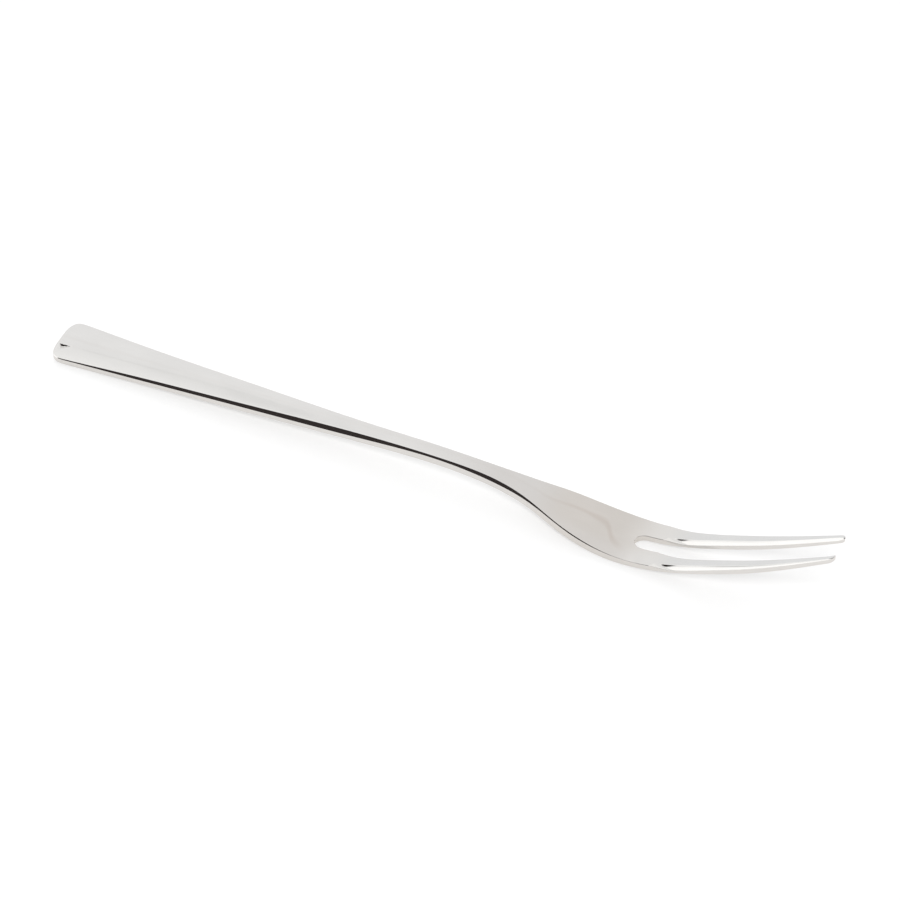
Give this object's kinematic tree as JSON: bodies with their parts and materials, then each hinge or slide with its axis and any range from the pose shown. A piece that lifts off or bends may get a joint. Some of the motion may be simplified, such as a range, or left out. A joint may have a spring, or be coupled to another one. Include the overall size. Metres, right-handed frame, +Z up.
{
  "type": "oyster fork",
  "caption": "Slim two-tined oyster fork in mirror-polished stainless steel, with a flat tapering handle, a narrow arched neck and bevelled upswept tines.",
  "frame": {"origin": "on the table, midway between the handle's end and the tips of the tines, under the fork's middle line", "axes": "+X along the fork from the handle's end to the tips, +Z up out of the face that food is lifted on, +Y to the left of someone who looks along +X"},
  "size_m": [0.15, 0.0102, 0.0181],
  "materials": {
    "steel": "mirror-polished stainless steel with fine polishing haze"
  },
  "bodies": {
    "root": {"handle": "steel", "neck": "steel", "head": "steel", "tine_left": "steel", "tine_right": "steel"}
  },
  "joints": []
}
